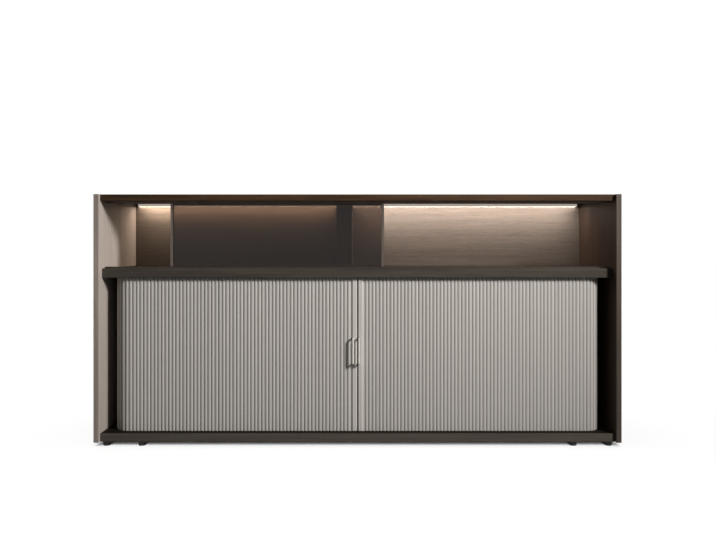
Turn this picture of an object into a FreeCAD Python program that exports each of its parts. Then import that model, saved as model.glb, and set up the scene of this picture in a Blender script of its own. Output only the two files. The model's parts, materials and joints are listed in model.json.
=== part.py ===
"""Office credenza with two tambour doors, a lit display niche and a sliding glass screen.

Millimetres. The origin is the middle of the footprint on the floor, +X runs to the right as seen
from the front, -Y points out of the front and +Z is up. Each function returns one sub-part, and
the list at the end writes each of them to a STEP file of its own.
"""

import FreeCAD
import Part

import math
import os

# ---------------------------------------------------------------- case
case_width = 1800.0
case_height = 864.5
case_depth = 420.0
side_thick = 18.0
board_arris = 1.0

top_thick = 22.0
top_setback = 13.5
niche_height = 232.5
deck_thick = 32.0
deck_setback = 31.5
bottom_thick = 28.0
bottom_setback = 13.5

back_thick = 8.0
back_recess = 12.0

foot_height = 17.0
foot_radius = 14.0
foot_inset_y = 35.0
foot_outer_inset_x = 34.0
foot_pitch_x = 122.0

# ---------------------------------------------------------------- light cove under the top
cove_start = 200.0
cove_height = 13.0
led_profile_height = 12.6
led_profile_depth = 17.0
led_profile_wall = 1.2
led_diffuser_thick = 1.2
led_diffuser_recess = 1.0
led_board_width = 10.0
led_board_thick = 1.6
led_end_gap = 14.0
led_cap_thick = 1.5
grommet_flange_radius = 5.0
grommet_flange_thick = 1.5
grommet_sleeve_radius = 3.5
grommet_bore_radius = 2.0

# ---------------------------------------------------------------- upright inside the niche
divider_width = 55.0
divider_centre_x = -47.5
divider_setback = 95.0

# ---------------------------------------------------------------- sliding glass screen
screen_left_x = -653.5
screen_width = 746.5
screen_setback = 61.0
screen_thick = 16.0
screen_stile_width = 9.0
screen_rail_height = 5.5
pane_thick = 5.0
pane_rebate = 3.0
track_width = 22.0
track_height = 5.2
track_groove_width = 4.6
track_groove_depth = 3.7
runner_length = 32.0
runner_width = 4.0
runner_inset = 60.0

# ---------------------------------------------------------------- tambour curtain
door_setback = 46.0
door_gap = 3.0
end_recess = 31.9
slat_pitch_wanted = 12.4
bend_slats = 6
tail_length = 150.0
slat_joint = 0.4
tongue_thick = 5.3
reed_rise = 2.2
reed_facets = 4
canvas_thick = 0.8
groove_depth = 8.0
groove_play = 0.6
tongue_end_play = 0.3
reed_end_play = 1.0
rear_run_clear = 4.0

stile_width = 23.0
stile_face_end = 16.1
stile_proud = 1.5
stile_thick = 13.5
strip_width = 8.3
stile_arris = 0.7
meeting_rebate_width = 1.9
meeting_rebate_depth = 2.0

pull_length = 94.0
pull_width = 5.5
pull_bar_thick = 5.0
pull_projection = 18.0
pull_post_height = 6.0
pull_corner_radius = 5.0
pull_centre_z = 325.5
left_pull_edge = 0.2
right_pull_edge = 2.2

# ---------------------------------------------------------------- cupboard inside
liner_thick = 12.0
liner_clear = 7.0
false_back_thick = 9.0
false_back_clear = 6.0
partition_thick = 18.0
partition_front_clear = 4.0
shelf_thick = 18.0
shelf_top_z = 321.0
shelf_end_play = 1.0
shelf_front_clear = 22.0
pin_radius = 2.5
pin_seat_depth = 8.0
pin_reach = 7.0
pin_inset_y = 37.0

# ---------------------------------------------------------------- screws and running clearances
screw_play = 0.15
pull_screw_radius = 1.5
pull_screw_head_radius = 2.6
pull_screw_head_thick = 2.0
pull_screw_grip = 6.0
slide_play = 0.3
screen_play = 0.7
fit_play = 0.1

# ---------------------------------------------------------------- places worked out from the sizes
front_y = -case_depth / 2
rear_y = case_depth / 2
panel_inner_x = case_width / 2 - side_thick
top_under_z = case_height - top_thick
cove_under_z = top_under_z + cove_height
deck_top_z = top_under_z - niche_height
deck_under_z = deck_top_z - deck_thick
bottom_top_z = foot_height + bottom_thick
back_rear_y = rear_y - back_recess
back_front_y = back_rear_y - back_thick

slat_thick = tongue_thick + reed_rise
reed_front_y = front_y + door_setback
band_y = reed_front_y + slat_thick
band_x = panel_inner_x - end_recess - slat_thick
stile_back_x = door_gap / 2 + stile_width

# The slats' pitch is set so that whole numbers of them fill the front and the quarter bend. A bend
# of that many slats has a radius of radius_per_pitch times the pitch.
radius_per_pitch = bend_slats / (math.pi / 2)
front_slats = round((band_x - stile_back_x) / slat_pitch_wanted - radius_per_pitch)
slat_pitch = (band_x - stile_back_x) / (front_slats + radius_per_pitch)
slat_width = slat_pitch - slat_joint
side_slats = round(tail_length / slat_pitch)
bend_radius = radius_per_pitch * slat_pitch
bend_x = band_x - bend_radius
bend_y = band_y + bend_radius
rear_band_y = back_front_y - rear_run_clear - slat_thick
stile_front_y = reed_front_y - stile_proud
stile_back_y = stile_front_y + stile_thick

liner_outer_x = band_x - canvas_thick - liner_clear
liner_inner_x = liner_outer_x - liner_thick
false_back_rear_y = rear_band_y - canvas_thick - false_back_clear
false_back_front_y = false_back_rear_y - false_back_thick
partition_front_y = stile_back_y + partition_front_clear
shelf_front_y = partition_front_y + shelf_front_clear
shelf_under_z = shelf_top_z - shelf_thick

divider_left_x = divider_centre_x - divider_width / 2
divider_right_x = divider_centre_x + divider_width / 2
divider_front_y = front_y + divider_setback

screen_front_y = front_y + screen_setback
screen_back_y = screen_front_y + screen_thick
screen_mid_y = (screen_front_y + screen_back_y) / 2
screen_right_x = screen_left_x + screen_width
screen_bottom_z = deck_top_z + track_height + screen_play
screen_top_z = top_under_z - track_height - screen_play

LEFT = -1
RIGHT = 1

# Points nearer to each other than this count as one.
touching = 1e-6


# ---------------------------------------------------------------- building blocks
def block(x0, x1, y0, y1, z0, z1):
    """Return a box between two corners, given in any order along X."""
    x_low = min(x0, x1)
    x_high = max(x0, x1)
    return Part.makeBox(x_high - x_low, y1 - y0, z1 - z0, FreeCAD.Vector(x_low, y0, z0))


def rod(radius, length, start, direction):
    """Return a cylinder that starts at a point and runs along a direction."""
    return Part.makeCylinder(radius, length, FreeCAD.Vector(*start), FreeCAD.Vector(*direction))


def prism_up(points, z0, z1):
    """Return an upright prism over an outline of (x, y) points."""
    corners = [FreeCAD.Vector(x, y, z0) for x, y in points]
    outline = Part.makePolygon(corners + corners[:1])
    return Part.Face(outline).extrude(FreeCAD.Vector(0, 0, z1 - z0))


def prism_across(points, x0, x1):
    """Return a prism along X over an outline of (y, z) points."""
    corners = [FreeCAD.Vector(x0, y, z) for y, z in points]
    outline = Part.makePolygon(corners + corners[:1])
    return Part.Face(outline).extrude(FreeCAD.Vector(x1 - x0, 0, 0))


def cut_all(shape, tools):
    """Return a shape with every tool cut out of it."""
    if not tools:
        return shape
    return shape.cut(Part.makeCompound(tools))


def rounded_slab(half_x, y0, y1, radius, z0, z1):
    """Return an upright slab, rounded at its four corners, centred on X = 0."""
    slab = block(-half_x, half_x, y0, y1, z0, z1)
    corners = []
    for edge in slab.Edges:
        if abs(edge.Vertexes[0].Z - edge.Vertexes[1].Z) > touching:
            corners.append(edge)
    return slab.makeFillet(radius, corners)


def edges_at_y(shape, y):
    """Return the edges of a shape that lie in the plane at one Y."""
    return [edge for edge in shape.Edges if all(abs(end.Y - y) < touching for end in edge.Vertexes)]


def ease_front(board, y):
    """Return a board with the edges of its front face eased by the board arris."""
    return board.makeChamfer(board_arris, edges_at_y(board, y))


# ---------------------------------------------------------------- case boards
def side_panel(side):
    """One upright side panel of the case."""
    panel = block(
        side * panel_inner_x, side * case_width / 2, front_y, rear_y, foot_height, case_height
    )
    return ease_front(panel, front_y)


def top_board():
    """The top, thinned from below behind the cove line so that the light hides in it."""
    board_front_y = front_y + top_setback
    board = block(
        -panel_inner_x, panel_inner_x, board_front_y, back_rear_y, top_under_z, case_height
    )
    cove = block(
        -panel_inner_x, panel_inner_x, front_y + cove_start, back_rear_y, top_under_z, cove_under_z
    )
    return ease_front(board.cut(cove), board_front_y)


def curtain_groove(z0, z1):
    """The racetrack groove that the slats' tongues follow, as a solid between two heights."""
    outer_radius = math.hypot(bend_radius + tongue_thick, slat_width / 2) + groove_play / 2
    inner_radius = bend_radius - groove_play
    rear_bend_y = rear_band_y - bend_radius
    outer = rounded_slab(
        bend_x + outer_radius, bend_y - outer_radius, rear_bend_y + outer_radius, outer_radius, z0, z1
    )
    inner = rounded_slab(
        bend_x + inner_radius, bend_y - inner_radius, rear_bend_y + inner_radius, inner_radius, z0, z1
    )
    return outer.cut(inner)


def display_deck():
    """The thick board that is the floor of the niche and the roof of the cupboard."""
    board_front_y = front_y + deck_setback
    board = block(
        -panel_inner_x, panel_inner_x, board_front_y, back_front_y, deck_under_z, deck_top_z
    )
    board = ease_front(board, board_front_y)
    return board.cut(curtain_groove(deck_under_z, deck_under_z + groove_depth))


def foot_places():
    """The (x, y) of each foot: two at each end of the front and the back."""
    outer_x = case_width / 2 - foot_outer_inset_x
    places = []
    for side in (LEFT, RIGHT):
        for x in (outer_x, outer_x - foot_pitch_x):
            for y in (front_y + foot_inset_y, rear_y - foot_inset_y):
                places.append((side * x, y))
    return places


def bottom_board():
    """The cupboard floor, grooved for the curtains."""
    board_front_y = front_y + bottom_setback
    board = block(
        -panel_inner_x, panel_inner_x, board_front_y, back_front_y, foot_height, bottom_top_z
    )
    board = ease_front(board, board_front_y)
    return board.cut(curtain_groove(bottom_top_z - groove_depth, bottom_top_z))


def grommet_centre_z():
    """Height of the lead's way out, level with the light profile that hides it."""
    return cove_under_z - led_profile_height / 2 - fit_play


def grommet_centre_x():
    """Place of the lead's way out, near the middle of the light on the right."""
    return (divider_right_x + panel_inner_x) / 2


def back_panel():
    """The one-piece back, against the boards' rear edges, drilled for the light's lead."""
    panel = block(
        -panel_inner_x, panel_inner_x, back_front_y, back_rear_y, foot_height, cove_under_z
    )
    lead_start = (grommet_centre_x(), back_front_y, grommet_centre_z())
    return panel.cut(rod(grommet_sleeve_radius + fit_play, back_thick, lead_start, (0, 1, 0)))


# ---------------------------------------------------------------- feet
def feet():
    """The eight round glides."""
    glides = []
    for x, y in foot_places():
        glides.append(rod(foot_radius, foot_height, (x, y, 0), (0, 0, 1)))
    return Part.makeCompound(glides)


# ---------------------------------------------------------------- niche upright and light
def niche_divider():
    """The boxed upright behind the screen, taller behind the cove line."""
    outline = [
        (divider_front_y, deck_top_z),
        (back_front_y, deck_top_z),
        (back_front_y, cove_under_z),
        (front_y + cove_start, cove_under_z),
        (front_y + cove_start, top_under_z),
        (divider_front_y, top_under_z),
    ]
    return prism_across(outline, divider_left_x, divider_right_x)


def led_span(side):
    """The X limits of the light profile on one side of the upright, end caps not counted."""
    outer_x = side * (panel_inner_x - led_end_gap)
    if side == LEFT:
        return outer_x, divider_left_x - led_cap_thick
    return divider_right_x + led_cap_thick, outer_x


def led_outer():
    """The outer Y and Z limits of the light profile, tucked into the cove's rear corner."""
    z1 = cove_under_z
    return back_front_y - led_profile_depth, back_front_y, z1 - led_profile_height, z1


def led_profile(side):
    """A milky plastic channel, open downwards, along the rear corner of the cove."""
    x0, x1 = led_span(side)
    y0, y1, z0, z1 = led_outer()
    channel = block(x0, x1, y0, y1, z0, z1)
    hollow = block(x0, x1, y0 + led_profile_wall, y1 - led_profile_wall, z0, z1 - led_profile_wall)
    return channel.cut(hollow)


def led_diffuser(side):
    """The opal strip that closes the channel."""
    x0, x1 = led_span(side)
    y0, y1, z0, z1 = led_outer()
    low_z = z0 + led_diffuser_recess
    return block(
        x0, x1, y0 + led_profile_wall, y1 - led_profile_wall, low_z, low_z + led_diffuser_thick
    )


def led_board(side):
    """The strip of light-emitting diodes on the channel's roof."""
    x0, x1 = led_span(side)
    y0, y1, z0, z1 = led_outer()
    mid_y = (y0 + y1) / 2
    roof_z = z1 - led_profile_wall
    return block(
        x0, x1, mid_y - led_board_width / 2, mid_y + led_board_width / 2, roof_z - led_board_thick, roof_z
    )


def led_end_caps():
    """A cap on each end of both channels."""
    y0, y1, z0, z1 = led_outer()
    caps = []
    for side in (LEFT, RIGHT):
        x0, x1 = led_span(side)
        caps.append(block(x0 - led_cap_thick, x0, y0, y1, z0, z1))
        caps.append(block(x1, x1 + led_cap_thick, y0, y1, z0, z1))
    return Part.makeCompound(caps)


def lead_grommet():
    """The rubber grommet that the light's lead leaves the back through."""
    x = grommet_centre_x()
    z = grommet_centre_z()
    sleeve = rod(grommet_sleeve_radius, back_thick, (x, back_front_y, z), (0, 1, 0))
    flange = rod(grommet_flange_radius, grommet_flange_thick, (x, back_rear_y, z), (0, 1, 0))
    bore = rod(grommet_bore_radius, back_thick + grommet_flange_thick, (x, back_front_y, z), (0, 1, 0))
    return sleeve.fuse(flange).cut(bore)


# ---------------------------------------------------------------- sliding glass screen
def screen_track(face_z, direction):
    """A grooved track: direction +1 stands on the deck, -1 hangs from the top."""
    far_z = face_z + direction * track_height
    y0 = screen_mid_y - track_width / 2
    y1 = screen_mid_y + track_width / 2
    rail = block(-panel_inner_x, panel_inner_x, y0, y1, min(face_z, far_z), max(face_z, far_z))
    floor_z = far_z - direction * track_groove_depth
    groove = block(
        -panel_inner_x,
        panel_inner_x,
        screen_mid_y - track_groove_width / 2,
        screen_mid_y + track_groove_width / 2,
        min(floor_z, far_z),
        max(floor_z, far_z),
    )
    return rail.cut(groove)


def lower_track():
    """The track that the screen runs on."""
    return screen_track(deck_top_z, 1)


def upper_track():
    """The track that guides the screen's head."""
    return screen_track(top_under_z, -1)


def pane_limits():
    """The X and Z limits of the glass, which reaches into its frame by the rebate."""
    inset_x = screen_stile_width - pane_rebate
    inset_z = screen_rail_height - pane_rebate
    return (
        screen_left_x + inset_x,
        screen_right_x - inset_x,
        screen_bottom_z + inset_z,
        screen_top_z - inset_z,
    )


def pane_block(play):
    """The glass as a block, grown all round by a clearance."""
    x0, x1, z0, z1 = pane_limits()
    y0 = screen_mid_y - pane_thick / 2 - play
    y1 = screen_mid_y + pane_thick / 2 + play
    return block(x0 - play, x1 + play, y0, y1, z0 - play, z1 + play)


def screen_stiles():
    """The screen's two uprights, grooved for the glass."""
    stiles = []
    for x0 in (screen_left_x, screen_right_x - screen_stile_width):
        x1 = x0 + screen_stile_width
        stile = block(x0, x1, screen_front_y, screen_back_y, screen_bottom_z, screen_top_z)
        stiles.append(stile.cut(pane_block(fit_play)))
    return Part.makeCompound(stiles)


def screen_rails():
    """The screen's top and bottom rails between the uprights, grooved for the glass."""
    x0 = screen_left_x + screen_stile_width
    x1 = screen_right_x - screen_stile_width
    rails = []
    for z0 in (screen_bottom_z, screen_top_z - screen_rail_height):
        z1 = z0 + screen_rail_height
        rail = block(x0, x1, screen_front_y, screen_back_y, z0, z1)
        rails.append(rail.cut(pane_block(fit_play)))
    return Part.makeCompound(rails)


def screen_pane():
    """The sheet of smoked glass."""
    return pane_block(0)


def runner_starts():
    """The left end of each runner and guide, one near each end of the screen."""
    return (screen_left_x + runner_inset, screen_right_x - runner_inset - runner_length)


def screen_runners():
    """The plastic runners under the bottom rail, in the lower track's groove."""
    floor_z = deck_top_z + track_height - track_groove_depth
    y0 = screen_mid_y - runner_width / 2
    y1 = screen_mid_y + runner_width / 2
    runners = []
    for x in runner_starts():
        runners.append(block(x, x + runner_length, y0, y1, floor_z + fit_play, screen_bottom_z))
    return Part.makeCompound(runners)


def screen_guides():
    """The plastic guides on the top rail, in the upper track's groove."""
    roof_z = top_under_z - track_height + track_groove_depth
    y0 = screen_mid_y - runner_width / 2
    y1 = screen_mid_y + runner_width / 2
    guides = []
    for x in runner_starts():
        guides.append(block(x, x + runner_length, y0, y1, screen_top_z, roof_z - slide_play))
    return Part.makeCompound(guides)


# ---------------------------------------------------------------- tambour curtain
def reed_outline():
    """The (x, y) outline of a reed's rounded face: chords of one arc, closed by its flat."""
    half = slat_width / 2
    radius = (half**2 + reed_rise**2) / (2 * reed_rise)
    centre_y = -slat_thick + radius
    sweep = 2 * math.asin(half / radius)
    outline = []
    for number in range(reed_facets + 1):
        angle = sweep * (number / reed_facets - 0.5)
        outline.append((radius * math.sin(angle), centre_y - radius * math.cos(angle)))
    return outline


def slat():
    """One slat with a shallow round face, standing at the origin with its flat back on y = 0.

    The round face stops short of the boards, and a flat tongue at each end runs in their grooves.
    """
    half = slat_width / 2
    tongue_low_z = bottom_top_z - groove_depth + tongue_end_play
    tongue_high_z = deck_under_z + groove_depth - tongue_end_play
    tongue = block(-half, half, -tongue_thick, 0, tongue_low_z, tongue_high_z)
    reed = prism_up(reed_outline(), bottom_top_z + reed_end_play, deck_under_z - reed_end_play)
    return tongue.fuse(reed).removeSplitter()


def placed_slats(places):
    """Copies of the slat at each (x, y, turn in degrees)."""
    master = slat()
    copies = []
    for x, y, turn in places:
        copy = master.copy()
        copy.Placement = FreeCAD.Placement(
            FreeCAD.Vector(x, y, 0), FreeCAD.Rotation(FreeCAD.Vector(0, 0, 1), turn)
        )
        copies.append(copy)
    return Part.makeCompound(copies)


def curtain_slats(side):
    """The slats of one door across the front, between its stile and its bend."""
    places = []
    for number in range(front_slats):
        x = stile_back_x + (number + 0.5) * slat_pitch
        places.append((side * x, band_y, 0))
    return placed_slats(places)


def bend_slat_group(side):
    """The slats that stand in the bend at the front corner."""
    step = 90.0 / bend_slats
    places = []
    for number in range(bend_slats):
        turn = (number + 0.5) * step
        x = bend_x + bend_radius * math.sin(math.radians(turn))
        y = bend_y - bend_radius * math.cos(math.radians(turn))
        places.append((side * x, y, side * turn))
    return placed_slats(places)


def side_slat_group(side):
    """The slats that stand along the end of the cupboard, behind the bend."""
    places = []
    for number in range(side_slats):
        y = bend_y + (number + 0.5) * slat_pitch
        places.append((side * band_x, y, side * 90))
    return placed_slats(places)


def canvas_front(side):
    """The cloth glued behind the front slats."""
    return block(
        side * (stile_back_x + slat_joint),
        side * bend_x,
        band_y,
        band_y + canvas_thick,
        bottom_top_z + reed_end_play,
        deck_under_z - reed_end_play,
    )


def canvas_turn(side):
    """The cloth round the bend and along the end of the cupboard."""
    z0 = bottom_top_z + reed_end_play
    z1 = deck_under_z - reed_end_play
    centre = FreeCAD.Vector(side * bend_x, bend_y, z0)
    outer = Part.makeCylinder(bend_radius, z1 - z0, centre)
    inner = Part.makeCylinder(bend_radius - canvas_thick, z1 - z0, centre)
    corner = block(
        side * bend_x, side * (band_x + slat_thick), band_y - slat_thick, bend_y, z0, z1
    )
    sheet = outer.cut(inner).common(corner)
    tail_y = bend_y + side_slats * slat_pitch
    straight = block(side * (band_x - canvas_thick), side * band_x, bend_y, tail_y, z0, z1)
    return sheet.fuse(straight).removeSplitter()


def eased_face(x0, x1):
    """The (x, y) points of the lead edge's front face between two X, with both corners eased."""
    return [
        (x0, stile_front_y + stile_arris),
        (x0 + stile_arris, stile_front_y),
        (x1 - stile_arris, stile_front_y),
        (x1, stile_front_y + stile_arris),
    ]


def upright(side, outline):
    """A prism of the lead edge over an outline drawn for the right-hand door."""
    points = [(side * x, y) for x, y in outline]
    return prism_up(points, bottom_top_z + reed_end_play, deck_under_z - reed_end_play)


def pull_x(side):
    """Where a pull stands. Each is near the left edge of its stile's face."""
    if side == LEFT:
        return -(door_gap / 2 + stile_face_end) + left_pull_edge + pull_width / 2
    return door_gap / 2 + right_pull_edge + pull_width / 2


def pull_screw_heights():
    """The heights of a pull's two screws, one in the middle of each post."""
    offset = (pull_length - pull_post_height) / 2
    return (pull_centre_z - offset, pull_centre_z + offset)


def pull_drilling(side):
    """The holes through the lead edge for the pull's screws."""
    radius = pull_screw_radius + screw_play
    holes = []
    for z in pull_screw_heights():
        holes.append(rod(radius, stile_thick, (pull_x(side), stile_front_y, z), (0, 1, 0)))
    return holes


def lead_stile(side):
    """The lead stile: a flat face beside a shadow ledge, with tongues like the slats'."""
    x0 = door_gap / 2 + strip_width
    face_end_x = door_gap / 2 + stile_face_end
    ledge_y = band_y - tongue_thick
    outline = [(x0, stile_back_y)] + eased_face(x0, face_end_x)
    outline += [(face_end_x, ledge_y), (stile_back_x, ledge_y), (stile_back_x, stile_back_y)]
    body = upright(side, outline)
    tongue = block(
        side * x0,
        side * stile_back_x,
        band_y - tongue_thick,
        band_y,
        bottom_top_z - groove_depth + tongue_end_play,
        deck_under_z + groove_depth - tongue_end_play,
    )
    return cut_all(body.fuse(tongue).removeSplitter(), pull_drilling(side))


def meeting_strip(side):
    """The strip on the meeting edge, rebated so that a shadow line shows between the doors."""
    x0 = door_gap / 2
    x1 = x0 + strip_width
    face_x = x0 + meeting_rebate_width
    rebate_y = stile_front_y + meeting_rebate_depth
    outline = [(x0, stile_back_y), (x0, rebate_y), (face_x, rebate_y)] + eased_face(face_x, x1)
    outline.append((x1, stile_back_y))
    return cut_all(upright(side, outline), pull_drilling(side))


def pull(side):
    """A slim bow pull: an upright bar on two posts, bent from one piece."""
    base_y = stile_front_y
    tip_y = base_y - pull_projection
    low_z = pull_centre_z - pull_length / 2
    high_z = pull_centre_z + pull_length / 2
    x0 = pull_x(side) - pull_width / 2
    x1 = x0 + pull_width
    bow = block(x0, x1, tip_y, base_y, low_z, high_z)
    corners = [edge for edge in edges_at_y(bow, tip_y) if edge.Length < pull_length / 2]
    bow = bow.makeFillet(pull_corner_radius, corners)
    opening = block(
        x0, x1, tip_y + pull_bar_thick, base_y, low_z + pull_post_height, high_z - pull_post_height
    )
    threads = []
    for z in pull_screw_heights():
        radius = pull_screw_radius + screw_play
        threads.append(rod(radius, pull_screw_grip + fit_play, (pull_x(side), base_y, z), (0, -1, 0)))
    return cut_all(bow, [opening] + threads)


def pull_screws(side):
    """The two screws of a pull, from behind the lead edge into the posts."""
    length = stile_thick + pull_screw_grip
    screws = []
    for z in pull_screw_heights():
        seat = (pull_x(side), stile_back_y, z)
        head = rod(pull_screw_head_radius, pull_screw_head_thick, seat, (0, 1, 0))
        shank = rod(pull_screw_radius, length, seat, (0, -1, 0))
        screws.append(head.fuse(shank))
    return Part.makeCompound(screws)


# ---------------------------------------------------------------- cupboard inside
def pin_y_places():
    """The Y of the front and rear rows of shelf pins."""
    return (shelf_front_y + pin_inset_y, false_back_front_y - pin_inset_y)


def pin_z():
    """Height of the middle of a shelf pin, just under the shelf."""
    return shelf_under_z - pin_radius - fit_play


def pin_holes(face_x, direction):
    """The blind holes of a front and a rear shelf pin, drilled from a face along X."""
    holes = []
    for y in pin_y_places():
        start = (face_x, y, pin_z())
        holes.append(rod(pin_radius + fit_play, pin_seat_depth, start, (direction, 0, 0)))
    return holes


def liner(side):
    """The upright board that parts the cupboard from the curtain's side run."""
    board = block(
        side * liner_inner_x, side * liner_outer_x, bend_y, false_back_rear_y, bottom_top_z, deck_under_z
    )
    return cut_all(board, pin_holes(side * liner_inner_x, side))


def false_back():
    """The inner back that parts the cupboard from the curtain's rear run."""
    return block(
        -liner_inner_x, liner_inner_x, false_back_front_y, false_back_rear_y, bottom_top_z, deck_under_z
    )


def centre_partition():
    """The board in the middle of the cupboard, drilled on both faces for shelf pins."""
    half = partition_thick / 2
    board = block(-half, half, partition_front_y, false_back_front_y, bottom_top_z, deck_under_z)
    return cut_all(board, pin_holes(-half, 1) + pin_holes(half, -1))


def shelf(side):
    """One loose shelf on its four pins."""
    x0 = side * (partition_thick / 2 + shelf_end_play)
    x1 = side * (liner_inner_x - shelf_end_play)
    y1 = false_back_front_y - shelf_end_play
    return block(x0, x1, shelf_front_y, y1, shelf_under_z, shelf_top_z)


def shelf_pins():
    """Four pins under each shelf."""
    length = pin_seat_depth + pin_reach
    pins = []
    for side in (LEFT, RIGHT):
        for y in pin_y_places():
            wall_x = side * (liner_inner_x + pin_seat_depth)
            pins.append(rod(pin_radius, length, (wall_x, y, pin_z()), (-side, 0, 0)))
            middle_x = side * (partition_thick / 2 - pin_seat_depth)
            pins.append(rod(pin_radius, length, (middle_x, y, pin_z()), (side, 0, 0)))
    return Part.makeCompound(pins)


# ---------------------------------------------------------------- every sub-part by its name
sub_parts = {
    "top_board": top_board(),
    "display_deck": display_deck(),
    "bottom_board": bottom_board(),
    "back_panel": back_panel(),
    "feet": feet(),
    "niche_divider": niche_divider(),
    "led_end_caps": led_end_caps(),
    "lead_grommet": lead_grommet(),
    "lower_screen_track": lower_track(),
    "upper_screen_track": upper_track(),
    "screen_stiles": screen_stiles(),
    "screen_rails": screen_rails(),
    "screen_pane": screen_pane(),
    "screen_runners": screen_runners(),
    "screen_guides": screen_guides(),
    "false_back": false_back(),
    "centre_partition": centre_partition(),
    "shelf_pins": shelf_pins(),
}

for name, side in (("left", LEFT), ("right", RIGHT)):
    sub_parts[name + "_side_panel"] = side_panel(side)
    sub_parts[name + "_led_profile"] = led_profile(side)
    sub_parts[name + "_led_diffuser"] = led_diffuser(side)
    sub_parts[name + "_led_board"] = led_board(side)
    sub_parts[name + "_curtain_slats"] = curtain_slats(side)
    sub_parts[name + "_curtain_canvas"] = canvas_front(side)
    sub_parts[name + "_bend_slats"] = bend_slat_group(side)
    sub_parts[name + "_side_run_slats"] = side_slat_group(side)
    sub_parts[name + "_turn_canvas"] = canvas_turn(side)
    sub_parts[name + "_lead_stile"] = lead_stile(side)
    sub_parts[name + "_meeting_strip"] = meeting_strip(side)
    sub_parts[name + "_pull"] = pull(side)
    sub_parts[name + "_pull_screws"] = pull_screws(side)
    sub_parts[name + "_liner"] = liner(side)
    sub_parts[name + "_shelf"] = shelf(side)

os.makedirs("parts", exist_ok=True)
for name, shape in sub_parts.items():
    shape.exportStep(os.path.join("parts", name + ".step"))
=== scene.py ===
"""Office credenza with two tambour doors, a lit niche and a sliding smoked-glass screen.

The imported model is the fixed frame, in metres: +X runs to the right as seen from the front, -Y
points out of the front and +Z is up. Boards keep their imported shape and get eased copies, the
tambour reeds, pulls, glides and fixings are modelled here, and every surface gets a finish.
"""

import json
import logging
import math
from dataclasses import dataclass, field
from enum import Enum
from typing import Any, Callable, Iterable, Mapping, Sequence, Union

import bmesh
import bpy
from mathutils import Matrix, Vector

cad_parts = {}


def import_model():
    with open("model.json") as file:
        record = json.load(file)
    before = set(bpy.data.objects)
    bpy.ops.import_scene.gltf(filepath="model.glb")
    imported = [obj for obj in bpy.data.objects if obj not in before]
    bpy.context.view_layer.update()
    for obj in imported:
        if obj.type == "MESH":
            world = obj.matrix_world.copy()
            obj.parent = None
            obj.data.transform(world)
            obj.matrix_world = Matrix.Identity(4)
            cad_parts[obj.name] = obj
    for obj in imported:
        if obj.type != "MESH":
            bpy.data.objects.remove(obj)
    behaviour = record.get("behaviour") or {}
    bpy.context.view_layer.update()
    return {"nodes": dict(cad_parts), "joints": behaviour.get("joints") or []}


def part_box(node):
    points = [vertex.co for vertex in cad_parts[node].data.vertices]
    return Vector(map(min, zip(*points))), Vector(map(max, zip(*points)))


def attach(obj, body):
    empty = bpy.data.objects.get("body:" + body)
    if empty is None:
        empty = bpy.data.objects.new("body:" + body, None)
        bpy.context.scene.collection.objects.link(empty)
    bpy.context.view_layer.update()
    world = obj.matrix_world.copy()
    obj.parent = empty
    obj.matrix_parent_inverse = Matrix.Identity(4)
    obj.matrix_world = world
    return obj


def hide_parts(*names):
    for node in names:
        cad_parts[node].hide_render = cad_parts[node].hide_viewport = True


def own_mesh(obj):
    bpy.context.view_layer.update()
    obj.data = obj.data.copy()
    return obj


LOG = logging.getLogger("credenza")

Colour = tuple[float, float, float]
Number = Union[int, float, "Value"]

ROOT_BODY = "case"
GRAIN_MAP = "grain"

# Points closer than this are one point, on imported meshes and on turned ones, in metres.
SAME_POINT = 0.00001
SAME_TURNED_POINT = 0.000001

# Edges of a round form that turn by more than this shade sharp, in degrees.
SHARP_TURN = 40

# The places of the sockets of a Mix node that mixes colours.
MIX_SHARE, MIX_FIRST, MIX_SECOND, MIX_RESULT = 0, 6, 7, 2


class Side(Enum):
    """A hand of the credenza, with the sign of its X."""

    LEFT = -1
    RIGHT = 1

    @property
    def word(self) -> str:
        """Return the word that the node names of this hand begin with."""
        return self.name.lower()


class GrainRun(Enum):
    """The axis that a board's grain follows, as its place in (x, y, z)."""

    ACROSS = 0
    UPRIGHT = 2


class Follow(Enum):
    """What a finish's pattern is tied to."""

    PIECE = "piece"
    SURFACE = "surface"


def display(red: int, green: int, blue: int) -> Colour:
    """Turn a colour in display values from 0 to 255 into the linear colour that shaders take.

    Args:
        red: The red display value.
        green: The green display value.
        blue: The blue display value.

    Returns:
        The linear colour.
    """

    def linear(value: int) -> float:
        share = value / 255
        return share / 12.92 if share <= 0.04045 else ((share + 0.055) / 1.055) ** 2.4

    return (linear(red), linear(green), linear(blue))


def shaded(colour: Colour, factor: float) -> Colour:
    """Return a linear colour made lighter or darker by a factor."""
    return (colour[0] * factor, colour[1] * factor, colour[2] * factor)


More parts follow.
